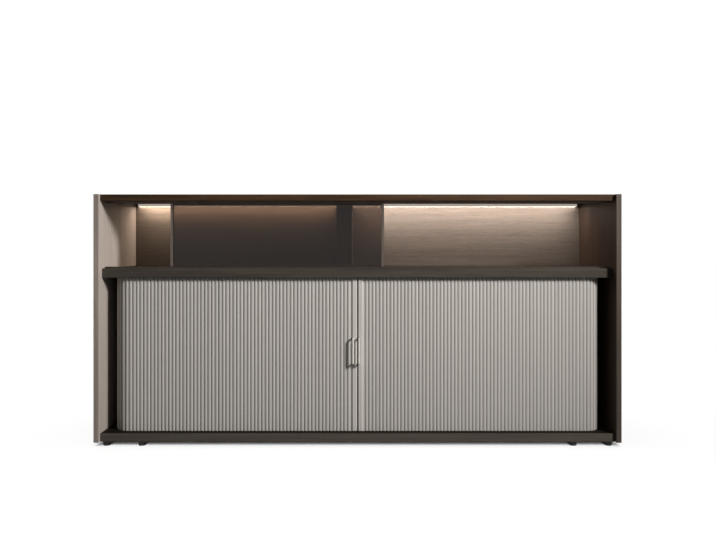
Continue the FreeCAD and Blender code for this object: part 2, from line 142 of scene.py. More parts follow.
# ------------------------------------------------------------------------------ shader building
class Value:
    """A number in a shader. Maths on it reads as a Python expression and adds Math nodes."""

    def __init__(self, graph: "Graph", socket: bpy.types.NodeSocket) -> None:
        """Wrap an output socket of a graph."""
        self.graph = graph
        self.socket = socket

    def _math(self, operation: str, *operands: Number) -> "Value":
        """Add one Math node.

        Args:
            operation: The node's operation.
            operands: Its inputs, in order.

        Returns:
            What the node gives.
        """
        inputs = {place: operand for place, operand in enumerate(operands)}
        node = self.graph.node("ShaderNodeMath", {"operation": operation}, inputs)
        return Value(self.graph, node.outputs[0])

    def __add__(self, other: Number) -> "Value":
        """Return self + other."""
        return self._math("ADD", self, other)

    __radd__ = __add__

    def __sub__(self, other: Number) -> "Value":
        """Return self - other."""
        return self._math("SUBTRACT", self, other)

    def __rsub__(self, other: Number) -> "Value":
        """Return other - self."""
        return self._math("SUBTRACT", other, self)

    def __mul__(self, other: Number) -> "Value":
        """Return self * other."""
        return self._math("MULTIPLY", self, other)

    __rmul__ = __mul__

    def sine(self) -> "Value":
        """Return the sine of the value."""
        return self._math("SINE", self)

    def at_least(self, other: Number) -> "Value":
        """Return the larger of two values."""
        return self._math("MAXIMUM", self, other)

    def eased(self, low: float, high: float) -> "Value":
        """Return a smooth step from 0 at low to 1 at high.

        Args:
            low: The value where the step begins.
            high: The value where the step ends. It may be the smaller of the two.

        Returns:
            The step, from 0 to 1.
        """
        node = self.graph.node(
            "ShaderNodeMapRange",
            {"interpolation_type": "SMOOTHSTEP", "clamp": True},
            {"Value": self, "From Min": low, "From Max": high, "To Min": 0.0, "To Max": 1.0},
        )
        return Value(self.graph, node.outputs["Result"])


class Graph:
    """The node graph of one material, world or lamp."""

    def __init__(self, tree: bpy.types.NodeTree) -> None:
        """Start an empty graph in a node tree."""
        self.tree = tree
        tree.nodes.clear()

    def node(
        self,
        kind: str,
        settings: Mapping[str, Any] | None = None,
        inputs: Mapping[str | int, Any] | None = None,
    ) -> bpy.types.Node:
        """Add a node.

        Args:
            kind: The node's type, such as ShaderNodeMath.
            settings: Its settings, set before its sockets. "stops" holds a ramp's stops.
            inputs: The value or the link of each socket, by name or by place.

        Returns:
            The new node.
        """
        node = self.tree.nodes.new(kind)
        for name, setting in (settings or {}).items():
            if name == "stops":
                self._fill_ramp(node.color_ramp, setting)
            else:
                setattr(node, name, setting)
        for name, given in (inputs or {}).items():
            self._feed(node.inputs[name], given)
        return node

    def _feed(self, target: bpy.types.NodeSocket, given: Any) -> None:
        """Link an input to a socket, or set it to a constant.

        Args:
            target: The input.
            given: A value, a socket, a number, or a colour or vector as a tuple.
        """
        given = given.socket if isinstance(given, Value) else given
        if isinstance(given, bpy.types.NodeSocket):
            self.tree.links.new(given, target)
        elif target.type == "RGBA":
            target.default_value = (*given, 1.0)
        else:
            target.default_value = given

    @staticmethod
    def _fill_ramp(ramp: bpy.types.ColorRamp, stops: Sequence[tuple[float, Colour]]) -> None:
        """Give a colour ramp its stops.

        Args:
            ramp: The ramp.
            stops: The place and the colour of each stop.
        """
        while len(ramp.elements) < len(stops):
            ramp.elements.new(1.0)
        for element, (place, colour) in zip(ramp.elements, stops):
            element.position = place
            element.color = (*colour, 1.0)

    def coordinates(self, follow: Follow) -> bpy.types.NodeSocket:
        """Return the coordinates that a pattern reads.

        Args:
            follow: Whether the pattern is tied to the piece or follows its surface.

        Returns:
            The piece's own coordinates, or those of its grain map.
        """
        if follow is Follow.SURFACE:
            return self.node("ShaderNodeUVMap", {"uv_map": GRAIN_MAP}).outputs["UV"]
        return self.node("ShaderNodeTexCoord").outputs["Object"]

    def stretched(
        self,
        vector: bpy.types.NodeSocket,
        scale: Sequence[float],
        shift: Sequence[float] = (0, 0, 0),
    ) -> bpy.types.NodeSocket:
        """Return coordinates scaled along each axis and then shifted."""
        inputs = {"Vector": vector, "Scale": scale, "Location": shift}
        return self.node("ShaderNodeMapping", None, inputs).outputs["Vector"]

    def split(self, vector: bpy.types.NodeSocket) -> tuple[Value, Value, Value]:
        """Return the three parts of a vector."""
        parts = self.node("ShaderNodeSeparateXYZ", None, {"Vector": vector}).outputs
        return Value(self, parts["X"]), Value(self, parts["Y"]), Value(self, parts["Z"])

    def joined(self, x: Number, y: Number, z: Number) -> bpy.types.NodeSocket:
        """Return a vector made of three numbers."""
        return self.node("ShaderNodeCombineXYZ", None, {"X": x, "Y": y, "Z": z}).outputs["Vector"]

    def noise(
        self, vector: bpy.types.NodeSocket, detail: float = 3.0, roughness: float = 0.55
    ) -> Value:
        """Return noise from 0 to 1, with one blob to each unit of the vector.

        Args:
            vector: The coordinates, already scaled.
            detail: The number of finer layers.
            roughness: The share of each finer layer.

        Returns:
            The noise.
        """
        inputs = {"Vector": vector, "Scale": 1.0, "Detail": detail, "Roughness": roughness}
        return Value(self, self.node("ShaderNodeTexNoise", None, inputs).outputs["Fac"])

    def ramp(self, value: Value, stops: Sequence[tuple[float, Colour]]) -> bpy.types.NodeSocket:
        """Return the colour that a ramp gives for a value."""
        return self.node("ShaderNodeValToRGB", {"stops": stops}, {"Fac": value}).outputs["Color"]

    def blend(self, share: Number, first: Any, second: Any) -> bpy.types.NodeSocket:
        """Return a mix of two colours.

        Args:
            share: How much of the second colour shows, from 0 to 1.
            first: The colour or colour socket at 0.
            second: The colour or colour socket at 1.

        Returns:
            The mixed colour.
        """
        settings = {"data_type": "RGBA", "blend_type": "MIX", "clamp_factor": True}
        inputs = {MIX_SHARE: share, MIX_FIRST: first, MIX_SECOND: second}
        return self.node("ShaderNodeMix", settings, inputs).outputs[MIX_RESULT]

    def dented(self, height: Value, depth: float, strength: float = 1.0) -> bpy.types.NodeSocket:
        """Return a normal that follows a height from 0 to 1.

        Args:
            height: The height.
            depth: How deep the relief is, in metres.
            strength: How much of it shows.

        Returns:
            The normal.
        """
        inputs = {"Height": height, "Distance": depth, "Strength": strength}
        return self.node("ShaderNodeBump", None, inputs).outputs["Normal"]


def new_material(
    name: str, sockets: Mapping[str, Any], pattern: Callable[[Graph], Mapping[str, Any]]
) -> bpy.types.Material:
    """Make a material with one Principled shader.

    Args:
        name: The material's name.
        sockets: Constant values for the shader's own sockets.
        pattern: A function that takes the graph and returns what links to the sockets.

    Returns:
        The material.
    """
    material = bpy.data.materials.new(name)
    material.use_nodes = True
    graph = Graph(material.node_tree)
    shader = graph.node("ShaderNodeBsdfPrincipled", None, {**sockets, **pattern(graph)})
    graph.node("ShaderNodeOutputMaterial", None, {"Surface": shader.outputs["BSDF"]})
    return material


# ------------------------------------------------------------------------------ finishes
@dataclass(frozen=True)
class Finish:
    """A named finish. Each kind has its own constant sockets and its own pattern."""

    name: str
    slot: str

    def material(self) -> bpy.types.Material:
        """Return the finish's material, made the first time that it is asked for."""
        made = bpy.data.materials.get(self.name)
        return made or new_material(self.name, self.sockets(), self.pattern)

    def sockets(self) -> dict[str, Any]:
        """Return the constant values of the shader's sockets."""
        return {}

    def pattern(self, graph: Graph) -> dict[str, Any]:
        """Lay out what changes over the surface.

        Args:
            graph: The material's graph.

        Returns:
            What links to each socket, by the socket's name.
        """
        raise NotImplementedError

    def dress(self, *pieces: bpy.types.Object) -> None:
        """Give pieces this finish.

        Args:
            pieces: The pieces, with or without material slots.
        """
        for piece in pieces:
            if not piece.material_slots:
                piece.data.materials.append(self.material())
            for slot in piece.material_slots:
                slot.material = self.material()


@dataclass(frozen=True)
class Veneer(Finish):
    """Sliced wood veneer with a satin lacquer: drawn-out figure, pores and a slow drift in tone."""

    tone: Colour
    run: GrainRun
    contrast: float = 0.5
    drift_height: float = 0.16
    drift_length: float = 0.9
    drift_share: float = 0.35
    drift_lift: float = 1.18
    figure_height: float = 0.018
    figure_length: float = 0.42
    wander: float = 0.02
    streak_height_share: float = 0.14
    streak_length_share: float = 0.4
    streak_share: float = 0.42
    pore_height: float = 0.0011
    pore_length: float = 0.045
    pore_dark: float = 0.45
    pore_tone: float = 0.35
    gloss: float = 0.46
    sheen: float = 0.14
    relief_depth: float = 0.00012
    seed: float = 0.0
    lipping_y: float | None = None
    lipping_tone: Colour | None = None
    lipping_thick: float = 0.001
    # Painted shade: the lipping can darken towards the foot, standing in for the light falling off
    # down the front edge.
    foot_dark: float = 0.0
    foot_tone: float = 0.12
    foot_low_z: float = 0.35
    foot_high_z: float = 0.8

    def sockets(self) -> dict[str, Any]:
        """Return the constant values of the shader's sockets."""
        return {"Specular IOR Level": self.sheen}

    def _scale(self, length: float, height: float) -> list[float]:
        """Work out the scale that draws a pattern out along the grain.

        Args:
            length: A blob's length along the grain, in metres.
            height: Its height across the grain.

        Returns:
            The scale along each axis.
        """
        scale = [1 / height] * 3
        scale[self.run.value] = 1 / length
        return scale

    def pattern(self, graph: Graph) -> dict[str, Any]:
        """Lay out the grain.

        Args:
            graph: The material's graph.

        Returns:
            What links to each socket, by the socket's name.
        """
        place = graph.coordinates(Follow.PIECE)
        shift = (self.seed, self.seed * 0.7, self.seed * 1.3)
        drift_scale = self._scale(self.drift_length, self.drift_height)
        drift = graph.noise(graph.stretched(place, drift_scale, shift), 2.0)
        x, y, z = graph.split(place)
        offset = (drift - 0.5) * self.wander
        along = x if self.run is GrainRun.ACROSS else x + offset * 0.5
        wandering = graph.joined(along, y + offset, z + offset)
        figure_scale = self._scale(self.figure_length, self.figure_height)
        figure = graph.noise(graph.stretched(wandering, figure_scale, shift), 4.0, 0.6)
        streak_scale = self._scale(
            self.figure_length * self.streak_length_share,
            self.figure_height * self.streak_height_share,
        )
        streaks = graph.noise(graph.stretched(wandering, streak_scale), 3.0)
        pore_scale = self._scale(self.pore_length, self.pore_height)
        pores = graph.noise(graph.stretched(wandering, pore_scale, shift), 2.0)
        pore_mask = pores.eased(0.56, 0.68)
        depth = figure * (1 - self.streak_share) + streaks * self.streak_share
        dark = shaded(self.tone, 1 - self.contrast)
        light = shaded(self.tone, 1 + self.contrast)
        colour = graph.ramp(depth, [(0.34, dark), (0.5, self.tone), (0.66, light)])
        drifted = drift.eased(0.35, 0.7) * self.drift_share
        colour = graph.blend(drifted, colour, shaded(self.tone, self.drift_lift))
        colour = graph.blend(pore_mask * self.pore_dark, colour, shaded(self.tone, self.pore_tone))
        if self.lipping_y is not None and self.lipping_tone is not None:
            inner_y = self.lipping_y + self.lipping_thick
            on_edge = y.eased(inner_y + 0.0004, inner_y)
            edge_stops = [
                (0.4, shaded(self.lipping_tone, 0.8)),
                (0.6, shaded(self.lipping_tone, 1.2)),
            ]
            edge = graph.ramp(depth, edge_stops)
            # Painted shade: darken the lipping towards the foot, for the light that falls off lower
            # down.
            if self.foot_dark:
                low = z.eased(self.foot_high_z, self.foot_low_z) * self.foot_dark
                edge = graph.blend(low, edge, shaded(self.lipping_tone, self.foot_tone))
            colour = graph.blend(on_edge, colour, edge)
        relief = streaks * 0.4 + (1 - pore_mask) * 0.6
        return {
            "Base Color": colour,
            "Roughness": pore_mask * 0.16 + (self.gloss - 0.04) + streaks * 0.08,
            "Normal": graph.dented(relief, self.relief_depth, 0.5),
        }


@dataclass(frozen=True)
class ReedWrap(Finish):
    """Warm grey wood-look foil of the reeds and the lead edge, with a faint upright grain."""

    tone: Colour
    follow: Follow
    sheen: float = 0.3
    fibre_width: float = 0.0011
    fibre_length: float = 0.22
    batch_width: float = 0.011
    batch_depth: float = 0.03
    batch_length: float = 1.8
    relief_depth: float = 0.00005

    def sockets(self) -> dict[str, Any]:
        """Return the constant values of the shader's sockets."""
        return {"Specular IOR Level": self.sheen}

    def pattern(self, graph: Graph) -> dict[str, Any]:
        """Lay out the grain, up the reeds.

        Args:
            graph: The material's graph.

        Returns:
            What links to each socket, by the socket's name.
        """
        place = graph.coordinates(self.follow)
        if self.follow is Follow.SURFACE:
            fine = (1 / self.fibre_width, 1 / self.fibre_length, 1.0)
            wide = (1 / self.batch_width, 1 / self.batch_length, 1.0)
        else:
            fine = (1 / self.fibre_width, 1 / self.fibre_width, 1 / self.fibre_length)
            wide = (1 / self.batch_width, 1 / self.batch_depth, 1 / self.batch_length)
        fibre = graph.noise(graph.stretched(place, fine), 3.0, 0.6)
        batch = graph.noise(graph.stretched(place, wide), 2.0)
        dark = shaded(self.tone, 0.86)
        light = shaded(self.tone, 1.1)
        shade = fibre * 0.45 + batch * 0.55
        return {
            "Base Color": graph.ramp(shade, [(0.32, dark), (0.5, self.tone), (0.7, light)]),
            "Roughness": fibre * 0.14 + 0.5,
            "Normal": graph.dented(fibre, self.relief_depth, 0.5),
        }


@dataclass(frozen=True)
class Melamine(Finish):
    """Matt melamine of the inner boards, with a printed wood grain and a fine pearl texture."""

    tone: Colour
    run: GrainRun = GrainRun.ACROSS
    sheen: float = 0.3
    print_height: float = 0.006
    print_length: float = 0.3
    pearl_width: float = 0.0012
    pearl_depth: float = 0.00006

    def sockets(self) -> dict[str, Any]:
        """Return the constant values of the shader's sockets."""
        return {"Specular IOR Level": self.sheen}

    def pattern(self, graph: Graph) -> dict[str, Any]:
        """Lay out the print and the texture.

        Args:
            graph: The material's graph.

        Returns:
            What links to each socket, by the socket's name.
        """
        place = graph.coordinates(Follow.PIECE)
        scale = [1 / self.print_height] * 3
        scale[self.run.value] = 1 / self.print_length
        printed = graph.noise(graph.stretched(place, scale), 4.0, 0.6)
        pearl = graph.noise(graph.stretched(place, [1 / self.pearl_width] * 3), 2.0)
        stops = [(0.3, shaded(self.tone, 0.75)), (0.7, shaded(self.tone, 1.25))]
        return {
            "Base Color": graph.ramp(printed, stops),
            "Roughness": pearl * 0.1 + 0.52,
            "Normal": graph.dented(pearl, self.pearl_depth, 0.4),
        }


@dataclass(frozen=True)
class Anodised(Finish):
    """Anodised or brushed metal, with fine lines along one axis."""

    tone: Colour
    roughness: float
    lines: int = 0
    metallic: float = 1.0
    line_width: float = 0.00035
    line_length: float = 0.06
    line_depth: float = 0.00002
    cloud_width: float = 0.05

    def sockets(self) -> dict[str, Any]:
        """Return the constant values of the shader's sockets."""
        return {"Metallic": self.metallic}

    def pattern(self, graph: Graph) -> dict[str, Any]:
        """Lay out the brushed lines.

        Args:
            graph: The material's graph.

        Returns:
            What links to each socket, by the socket's name.
        """
        scale = [1 / self.line_width] * 3
        scale[self.lines] = 1 / self.line_length
        place = graph.coordinates(Follow.PIECE)
        brushed = graph.noise(graph.stretched(place, scale), 2.0)
        cloud = graph.noise(graph.stretched(place, [1 / self.cloud_width] * 3), 2.0)
        stops = [(0.3, shaded(self.tone, 0.86)), (0.7, shaded(self.tone, 1.1))]
        return {
            "Base Color": graph.ramp(brushed * 0.7 + cloud * 0.3, stops),
            "Roughness": brushed * 0.16 + (self.roughness - 0.08),
            "Normal": graph.dented(brushed, self.line_depth, 0.4),
        }


@dataclass(frozen=True)
class Moulded(Finish):
    """Moulded plastic or rubber with a fine spark-eroded texture."""

    tone: Colour
    roughness: float
    sheen: float = 0.4
    grit_width: float = 0.0006
    grit_depth: float = 0.00004
    dust_width: float = 0.02

    def sockets(self) -> dict[str, Any]:
        """Return the constant values of the shader's sockets."""
        return {"Specular IOR Level": self.sheen}

    def pattern(self, graph: Graph) -> dict[str, Any]:
        """Lay out the texture and a trace of dust.

        Args:
            graph: The material's graph.

        Returns:
            What links to each socket, by the socket's name.
        """
        place = graph.coordinates(Follow.PIECE)
        grit = graph.noise(graph.stretched(place, [1 / self.grit_width] * 3), 2.0)
        dust = graph.noise(graph.stretched(place, [1 / self.dust_width] * 3), 3.0)
        dusty = dust.eased(0.45, 0.8) * 0.25
        return {
            "Base Color": graph.blend(dusty, self.tone, shaded(self.tone, 1.6)),
            "Roughness": grit * 0.12 + (self.roughness - 0.06),
            "Normal": graph.dented(grit, self.grit_depth, 0.5),
        }


@dataclass(frozen=True)
class Cloth(Finish):
    """The dark canvas that the slats are glued to, in a plain weave."""

    tone: Colour
    follow: Follow
    fuzz: float = 0.15
    thread: float = 0.0011
    thread_depth: float = 0.0002

    def sockets(self) -> dict[str, Any]:
        """Return the constant values of the shader's sockets."""
        return {"Sheen Weight": self.fuzz}

    def pattern(self, graph: Graph) -> dict[str, Any]:
        """Lay out the weave.

        Args:
            graph: The material's graph.

        Returns:
            What links to each socket, by the socket's name.
        """
        x, y, z = graph.split(graph.coordinates(self.follow))
        turns = math.pi / self.thread
        across = x if self.follow is Follow.SURFACE else x + y
        upright = y if self.follow is Follow.SURFACE else z
        weave = (across * turns).sine() * (upright * turns).sine()
        thread = weave * 0.5 + 0.5
        stops = [(0.1, shaded(self.tone, 0.55)), (0.8, shaded(self.tone, 1.2))]
        return {
            "Base Color": graph.ramp(thread, stops),
            "Roughness": thread * 0.1 + 0.82,
            "Normal": graph.dented(thread, self.thread_depth, 0.6),
        }


@dataclass(frozen=True)
class SmokedGlass(Finish):
    """Grey-brown tinted float glass."""

    tint: Colour
    refraction: float = 1.33
    smear_length: float = 0.09
    smear_height: float = 0.03
    smear_rough: float = 0.008
    cloud_width: float = 0.25

    def sockets(self) -> dict[str, Any]:
        """Return the constant values of the shader's sockets."""
        return {"Transmission Weight": 1.0, "IOR": self.refraction}

    def pattern(self, graph: Graph) -> dict[str, Any]:
        """Lay out the tint and the smears of wiping.

        Args:
            graph: The material's graph.

        Returns:
            What links to each socket, by the socket's name.
        """
        place = graph.coordinates(Follow.PIECE)
        scale = (1 / self.smear_length, 1 / self.smear_height, 1 / self.smear_height)
        wiped = graph.noise(graph.stretched(place, scale), 3.0)
        cloud = graph.noise(graph.stretched(place, [1 / self.cloud_width] * 3), 2.0)
        colour = graph.blend(cloud, shaded(self.tint, 0.97), shaded(self.tint, 1.03))
        return {"Base Color": colour, "Roughness": wiped.eased(0.5, 0.8) * self.smear_rough}


@dataclass(frozen=True)
class Opal(Finish):
    """Milky plastic that glows: the covers over the diodes, and a painted glow on the channels,
    which have no lamp of their own.
    """

    tone: Colour
    glow: Colour
    strength: float
    grain_width: float = 0.003
    diode_pitch: float = 0.02

    def sockets(self) -> dict[str, Any]:
        """Return the constant values of the shader's sockets."""
        return {"Emission Strength": self.strength, "Base Color": self.tone}

    def pattern(self, graph: Graph) -> dict[str, Any]:
        """Lay out the slight unevenness of the glow, which on the covers comes from the diodes
        behind.

        Args:
            graph: The material's graph.

        Returns:
            What links to each socket, by the socket's name.
        """
        place = graph.coordinates(Follow.PIECE)
        grain = graph.noise(graph.stretched(place, [1 / self.grain_width] * 3), 2.0)
        uneven = graph.noise(graph.stretched(place, (1 / self.diode_pitch, 1.0, 1.0)), 1.0)
        glow = graph.blend(uneven, shaded(self.glow, 0.96), shaded(self.glow, 1.04))
        return {"Emission Color": glow, "Roughness": grain * 0.1 + 0.45}


class Finishes:
    """Every finish of the credenza by its name."""

    TOP_WALNUT = Veneer(
        "top_walnut",
        "dark_walnut",
        display(58, 42, 29),
        GrainRun.ACROSS,
        contrast=0.55,
        figure_length=0.3,
        sheen=0.05,
        seed=3.1,
    )
    DECK_WALNUT = Veneer(
        "deck_walnut",
        "dark_walnut",
        display(40, 33, 27),
        GrainRun.ACROSS,
        contrast=0.3,
        gloss=0.6,
        sheen=0.004,
        seed=7.7,
        lipping_y=-0.1785,
        lipping_tone=display(64, 59, 54),
    )
    BOTTOM_WALNUT = Veneer(
        "bottom_walnut",
        "dark_walnut",
        # Painted shade: the body tone is far darker than the front lipping, standing in for the
        # shade on the strip of the top in front of the doors.
        display(20, 16, 12),
        GrainRun.ACROSS,
        contrast=0.3,
        gloss=0.6,
        sheen=0.04,
        seed=2.6,
        lipping_y=-0.1965,
        lipping_tone=display(73, 67, 61),
    )
    WALL_WALNUT = Veneer(
        "wall_walnut",
        "dark_walnut",
        display(106, 97, 90),
        GrainRun.ACROSS,
        contrast=0.2,
        figure_height=0.014,
        figure_length=0.3,
        wander=0.05,
        seed=1.4,
    )
    DIVIDER_WALNUT = Veneer(
        "divider_walnut",
        "dark_walnut",
        display(134, 124, 116),
        GrainRun.UPRIGHT,
        contrast=0.2,
        seed=4.3,
    )
    END_WALNUT = Veneer(
        "end_walnut",
        "dark_walnut",
        display(52, 41, 34),
        GrainRun.UPRIGHT,
        contrast=0.35,
        seed=5.2,
        lipping_y=-0.21,
        lipping_tone=display(72, 63, 56),
        # Painted shade at the foot of the front edge.
        foot_dark=0.32,
    )
    END_OAK = Veneer(
        "end_oak",
        "grey_oak",
        display(143, 134, 127),
        GrainRun.UPRIGHT,
        contrast=0.2,
        pore_dark=0.3,
        gloss=0.55,
        sheen=0.3,
        seed=9.4,
        lipping_y=-0.21,
        lipping_tone=display(128, 118, 110),
    )
    # Painted shade: the reeds take the lead edge's foil in a darker tone, standing in for the shade
    # across the reeded face.
    REED = ReedWrap("reed_wrap", "reed_grey", display(158, 154, 149), Follow.SURFACE)
    STILE = ReedWrap("stile_wrap", "reed_grey", display(175, 170, 165), Follow.PIECE)
    INNER = Melamine("inner_melamine", "inner_board", display(86, 77, 70))
    INNER_UPRIGHT = Melamine("inner_upright", "inner_board", display(86, 77, 70), GrainRun.UPRIGHT)
    BRONZE = Anodised("bronze", "bronze_frame", display(91, 82, 75), 0.34, lines=2, metallic=0.85)
    # Painted shade: the rails are the frame's bronze in a far darker tone than the stiles, standing
    # in for the shade that they lie in.
    BRONZE_RAIL = Anodised("bronze_rail", "bronze_frame", display(46, 36, 31), 0.38, metallic=0.7)
    TRACK = Anodised("track_bronze", "track_dark", display(60, 53, 47), 0.42, metallic=0.7)
    NICKEL = Anodised("nickel", "pull_nickel", display(198, 192, 185), 0.38, lines=2)
    ZINC = Anodised("zinc", "zinc_screw", display(176, 178, 180), 0.35, lines=1)
    CLOTH = Cloth("curtain_canvas", "curtain_cloth", display(70, 65, 62), Follow.SURFACE)
    CLOTH_TURN = Cloth("turn_canvas", "curtain_cloth", display(70, 65, 62), Follow.PIECE)
    GLASS = SmokedGlass("smoked_glass_sheet", "smoked_glass", (0.185, 0.145, 0.12))
    # Painted light: the channels glow faintly, standing in for the bounce light that falls on their
    # fronts; they are no lamp.
    CHANNEL = Opal("lit_channel", "led_channel", (0.8, 0.78, 0.74), (1.0, 0.86, 0.74), 0.34)
    LIGHT_LEFT = Opal("opal_left", "opal_diffuser", (0.9, 0.88, 0.84), (1.0, 0.82, 0.64), 15.0)
    LIGHT_RIGHT = Opal("opal_right", "opal_diffuser", (0.9, 0.88, 0.84), (1.0, 0.9, 0.82), 13.0)
    DIODES = Moulded("diode_board", "led_board", display(225, 224, 214), 0.5)
    PLASTIC = Moulded("black_plastic", "black_plastic", display(26, 26, 26), 0.5)
    RUBBER = Moulded("black_rubber", "black_rubber", display(30, 30, 30), 0.7)
    NYLON = Moulded("white_nylon", "white_nylon", display(220, 219, 212), 0.45)


# ------------------------------------------------------------------------------ making pieces
@dataclass
class Workshop:
    """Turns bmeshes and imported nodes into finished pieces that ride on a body."""

    nodes: Mapping[str, bpy.types.Object]
    joints: Sequence[Mapping[str, Any]]

    def travel(self, joint_name: str) -> float:
        """Return the far end of a sliding joint's range, in metres."""
        ranges = {joint["name"]: joint["range_m"] for joint in self.joints}
        return ranges[joint_name][1]

    @staticmethod
    def piece(
        name: str, mesh: bmesh.types.BMesh, finish: Finish, body: str, replaces: Iterable[str] = ()
    ) -> bpy.types.Object:
        """Make a finished piece out of a bmesh.

        Args:
            name: The piece's name.
            mesh: Its bmesh, which is freed.
            finish: Its finish.
            body: The body that it rides on.
            replaces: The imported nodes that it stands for.

        Returns:
            The new object.
        """
        data = bpy.data.meshes.new(name)
        mesh.to_mesh(data)
        mesh.free()
        made = bpy.data.objects.new(name, data)
        bpy.context.scene.collection.objects.link(made)
        finish.dress(made)
        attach(made, body)
        if replaces:
            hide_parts(*replaces)
        LOG.info("%s: %d faces, on %s", name, len(data.polygons), body)
        return made

    def eased_copy(
        self, node: str, finish: Finish, body: str = ROOT_BODY, arris: float = 0.0006
    ) -> bpy.types.Object:
        """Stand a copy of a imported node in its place, with its square edges eased.

        Args:
            node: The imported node.
            finish: The copy's finish.
            body: The body that it rides on.
            arris: How far the edges are eased, in metres.

        Returns:
            The copy.
        """
        mesh = self.merged_copy(node)
        bmesh.ops.dissolve_limit(
            mesh, angle_limit=math.radians(1), verts=mesh.verts, edges=mesh.edges
        )
        bmesh.ops.recalc_face_normals(mesh, faces=mesh.faces)
        made = self.piece("eased_" + node, mesh, finish, body, [node])
        self.ease(made, arris, 2, 60)
        return made

    def merged_copy(self, node: str) -> bmesh.types.BMesh:
        """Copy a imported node, with the points of its loose triangles joined.

        Args:
            node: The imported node.

        Returns:
            The copy's bmesh.
        """
        mesh = bmesh.new()
        mesh.from_mesh(self.nodes[node].data)
        bmesh.ops.remove_doubles(mesh, verts=mesh.verts, dist=SAME_POINT)
        return mesh

    @staticmethod
    def ease(made: bpy.types.Object, arris: float, segments: int, sharp: float) -> None:
        """Ease a piece's sharp edges.

        Args:
            made: The piece.
            arris: How far its edges are eased, in metres.
            segments: The number of faces across each eased edge.
            sharp: The least turn of an edge that is eased, in degrees.
        """
        easing = made.modifiers.new("arris", "BEVEL")
        easing.width = arris
        easing.segments = segments
        easing.limit_method = "ANGLE"
        easing.angle_limit = math.radians(sharp)
        easing.harden_normals = True

    def keep(self, finish: Finish, *names: str) -> None:
        """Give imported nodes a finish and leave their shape.

        Args:
            finish: The finish.
            names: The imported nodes.
        """
        for name in names:
            finish.dress(self.nodes[name])
            LOG.info("%s: kept, in %s", name, finish.name)


def lathe(mesh: bmesh.types.BMesh, outline: Sequence[tuple[float, float]], steps: int) -> None:
    """Turn an outline of (radius, height) points about Z into a closed solid.

    Args:
        mesh: The bmesh that the solid is added to.
        outline: The points from the bottom of the axis to its top.
        steps: The number of facets round it.
    """
    points = [mesh.verts.new((radius, 0.0, height)) for radius, height in outline]
    edges = [mesh.edges.new(pair) for pair in zip(points, points[1:])]
    bmesh.ops.spin(
        mesh,
        geom=points + edges,
        cent=(0, 0, 0),
        axis=(0, 0, 1),
        angle=math.tau,
        steps=steps,
        use_merge=True,
    )
    bmesh.ops.remove_doubles(mesh, verts=mesh.verts, dist=SAME_TURNED_POINT)
    bmesh.ops.recalc_face_normals(mesh, faces=mesh.faces)


def pour(source: bmesh.types.BMesh, target: bmesh.types.BMesh) -> None:
    """Add one bmesh's shape to another, and free the first.

    Args:
        source: The bmesh that is added and freed.
        target: The bmesh that it is added to.
    """
    data = bpy.data.meshes.new("poured")
    source.to_mesh(data)
    source.free()
    target.from_mesh(data)
    bpy.data.meshes.remove(data)


def points_made(made: Iterable[Any]) -> list[bmesh.types.BMVert]:
    """Return the vertices among what an operator made."""
    return [item for item in made if isinstance(item, bmesh.types.BMVert)]


def map_grain(mesh: bmesh.types.BMesh) -> None:
    """Give a bmesh a grain map that reads its X across and its Z along, in metres.

    Args:
        mesh: The bmesh.
    """
    grain = mesh.loops.layers.uv.new(GRAIN_MAP)
    for face in mesh.faces:
        for loop in face.loops:
            loop[grain].uv = (loop.vert.co.x, loop.vert.co.z)


def smooth_round(mesh: bmesh.types.BMesh, sharp_above: float = SHARP_TURN) -> None:
    """Shade a bmesh smooth, apart from its sharp edges.

    Args:
        mesh: The bmesh.
        sharp_above: The turn above which an edge is sharp, in degrees.
    """
    for face in mesh.faces:
        face.smooth = True
    for edge in mesh.edges:
        if len(edge.link_faces) == 2:
            edge.smooth = edge.calc_face_angle(0.0) < math.radians(sharp_above)


def add_block(mesh: bmesh.types.BMesh, low: Vector, high: Vector) -> None:
    """Add a block between two corners."""
    place = Matrix.Translation((low + high) / 2) @ Matrix.Diagonal((*(high - low), 1.0))
    bmesh.ops.create_cube(mesh, size=1.0, matrix=place)


class Bar:
    """A bar that grows out of a flat section, in straight stretches and quarter bends about X."""

    def __init__(self, mesh: bmesh.types.BMesh, section: bmesh.types.BMFace) -> None:
        """Start a bar.

        Args:
            mesh: The bmesh that it grows in.
            section: Its section, which stays as its first end.
        """
        self.mesh = mesh
        self.end = section
        self.fresh = True

    def draw(self, vector: Vector) -> None:
        """Draw the bar out in a straight line from its end.

        Args:
            vector: The line's direction and length.
        """
        drawn = bmesh.ops.extrude_face_region(
            self.mesh, geom=[self.end], use_keep_orig=self.fresh
        )["geom"]
        bmesh.ops.translate(self.mesh, verts=points_made(drawn), vec=vector)
        if not self.fresh:
            self._drop_old_end()
        self._end_at(drawn)

    def stretch(self, vector: Vector, margin: float = 0.0009) -> None:
        """Draw the bar out with a short length at each end, so that its long faces shade flat.

        Args:
            vector: The line's direction and length.
            margin: Each short length.
        """
        short = vector.normalized() * margin
        self.draw(short)
        self.draw(vector - 2 * short)
        self.draw(short)

    def bend(self, centre: Vector, steps: int) -> None:
        """Bend the bar a quarter turn about an axis along X through a point.

        Args:
            centre: A point of the axis.
            steps: The number of stretches in the bend.
        """
        turned = bmesh.ops.spin(
            self.mesh, geom=[self.end], cent=centre, axis=(1, 0, 0), angle=-math.pi / 2, steps=steps
        )["geom_last"]
        self._drop_old_end()
        self._end_at(turned)

    def _drop_old_end(self) -> None:
        """Delete the face that the bar has grown past, so that none is left inside it."""
        if self.end.is_valid:
            bmesh.ops.delete(self.mesh, geom=[self.end], context="FACES_ONLY")

    def _end_at(self, made: Iterable[Any]) -> None:
        """Take the one face among what was made as the bar's new end."""
        self.end = next(item for item in made if isinstance(item, bmesh.types.BMFace))
        self.fresh = False


